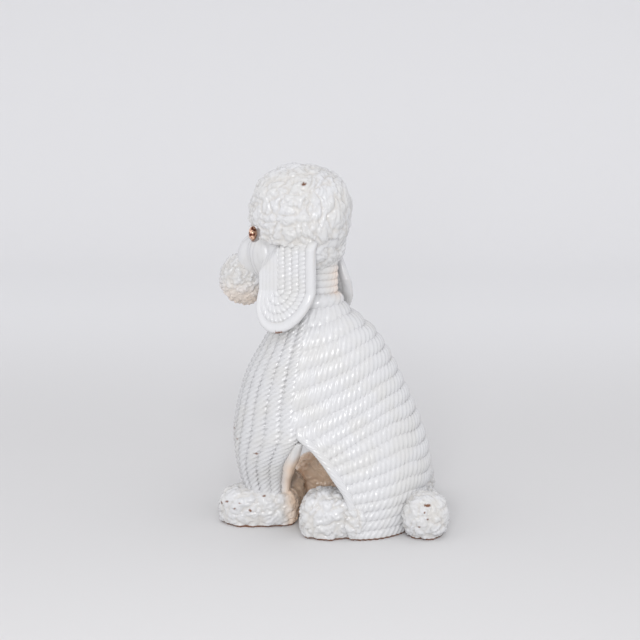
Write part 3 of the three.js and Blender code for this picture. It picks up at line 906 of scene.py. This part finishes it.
def eye_lustre():
    """Mirror-bright copper lustre, dimpled, with painted dark reflections in near-black streaks."""
    finish = bpy.data.materials.new("eye_lustre")
    finish.use_nodes = True
    tree = finish.node_tree
    shader = tree.nodes["Principled BSDF"]
    where = add_node(tree, "ShaderNodeTexCoord").outputs["Object"]
    # Painted dark reflections: streaks where the copper colour turns near-black.
    dark_reflections = ranged(tree, noise(tree, where, 230), 0.4, 0.52)
    copper = mix_colours(tree, dark_reflections, COPPER_DARK_REFLECTION, COPPER)
    tree.links.new(copper, shader.inputs["Base Color"])
    polish = ranged(tree, noise(tree, where, 300), 0.3, 0.7, 0.06, 0.18)
    tree.links.new(polish, shader.inputs["Roughness"])
    dimples = add_node(tree, "ShaderNodeBump")
    dimples.inputs["Strength"].default_value = 0.7
    dimples.inputs["Distance"].default_value = 0.0015
    tree.links.new(noise(tree, where, 330, 1.0), dimples.inputs["Height"])
    tree.links.new(dimples.outputs["Normal"], shader.inputs["Normal"])
    shader.inputs["Metallic"].default_value = 1.0
    return finish


# ---- Studio ----


# The studio, in metres. The near side of the floor is at +X, where the camera stands.
FLOOR_HALF_WIDTH = 4
FLOOR_NEAR_END, FLOOR_FAR_END = 2.5, -1.6
WALL_BEND = 0.8  # radius of the curve from the floor to the wall
WALL_TOP = 4.0


def floor_run():
    """The floor's outline (x, z): flat from the near end, round the bend and up the wall."""
    bend = [
        (FLOOR_FAR_END - WALL_BEND * math.sin(a), WALL_BEND * (1 - math.cos(a)))
        for a in np.linspace(0.1, np.pi / 2, 14)
    ]
    return [(FLOOR_NEAR_END, 0.0), (FLOOR_FAR_END, 0.0), *bend, (FLOOR_FAR_END - WALL_BEND, WALL_TOP)]


def floor_paint():
    """Matt pale paint with painted light: a little lighter away from the object, towards and up the wall.
    """
    paint = bpy.data.materials.new("floor_paint")
    paint.use_nodes = True
    tree = paint.node_tree
    shader = tree.nodes["Principled BSDF"]
    place = add_node(tree, "ShaderNodeSeparateXYZ")
    tree.links.new(add_node(tree, "ShaderNodeTexCoord").outputs["Object"], place.inputs[0])
    # Painted light: the colour lightens from near the object towards the wall.
    away = ranged(tree, place.outputs["X"], -0.25, -1.2)
    tree.links.new(mix_colours(tree, away, FLOOR_NEAR, FLOOR_FAR), shader.inputs["Base Color"])
    shader.inputs["Roughness"].default_value = 0.9
    return paint


def studio():
    """A pale floor that curves up behind, a soft key, a low fill and an even surround."""
    shape = bmesh.new()
    rows = [
        [shape.verts.new((x, y, z)) for x, z in floor_run()]
        for y in (-FLOOR_HALF_WIDTH, FLOOR_HALF_WIDTH)
    ]
    for a, b, c, d in zip(rows[0], rows[0][1:], rows[1][1:], rows[1]):
        shape.faces.new((a, b, c, d))
    mesh = bpy.data.meshes.new("floor")
    shape.to_mesh(mesh)
    shape.free()
    mesh.polygons.foreach_set("use_smooth", [True] * len(mesh.polygons))
    floor = bpy.data.objects.new("floor", mesh)
    bpy.context.scene.collection.objects.link(floor)
    mesh.materials.append(floor_paint())

    world = bpy.data.worlds.new("surround")
    world.use_nodes = True
    surround = world.node_tree.nodes["Background"]
    surround.inputs["Color"].default_value = (0.97, 0.97, 1.0, 1)
    surround.inputs["Strength"].default_value = 0.97
    bpy.context.scene.world = world
    add_light("key", position=(1.9, 0.3, 1.7), size=0.3, watts=4)
    add_light("fill", position=(1.5, -0.15, 0.62), size=0.3, watts=6)


LIGHT_TARGET = Vector((0, 0, 0.2))


def add_light(name, position, size, watts):
    """A square soft light that points at the object."""
    lamp = bpy.data.lights.new(name, "AREA")
    lamp.shape = "SQUARE"
    lamp.size = size
    lamp.energy = watts
    light = bpy.data.objects.new(name, lamp)
    bpy.context.scene.collection.objects.link(light)
    light.location = position
    aim = LIGHT_TARGET - light.location
    light.rotation_euler = aim.to_track_quat("-Z", "Y").to_euler()


AZIMUTH, ELEVATION = math.radians(91.8), math.radians(12.7)  # from the front (-Y) towards +X
DISTANCE = 1.6
VIEW_TARGET = Vector((0.0, -0.0155, 0.242))
FOCAL_LENGTH = 75.5


def camera():
    """The view of the object's left side, from a little above its middle."""
    lens = bpy.data.cameras.new("camera")
    lens.lens = FOCAL_LENGTH
    view = bpy.data.objects.new("camera", lens)
    bpy.context.scene.collection.objects.link(view)
    level = math.cos(ELEVATION)
    away = Vector((math.sin(AZIMUTH) * level, -math.cos(AZIMUTH) * level, math.sin(ELEVATION)))
    view.location = VIEW_TARGET + DISTANCE * away
    view.rotation_euler = (-away).to_track_quat("-Z", "Y").to_euler()
    bpy.context.scene.camera = view


def glaze_inner_nodes(glaze):
    """The slabs inside and the neck core keep their CAD shape and take the glaze."""
    for name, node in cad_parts.items():
        if name.endswith("slab") or name == "neck_core":
            for slot in node.material_slots:
                slot.material = glaze


bpy.context.scene.view_settings.view_transform = "Standard"
glaze = white_glaze()
ropes(glaze)
feet(glaze)
head_core(glaze)
muzzle(glaze)
topknot(glaze)
ears(glaze)
forelegs(glaze)
eyes(eye_lustre())
glaze_inner_nodes(glaze)
studio()
camera()
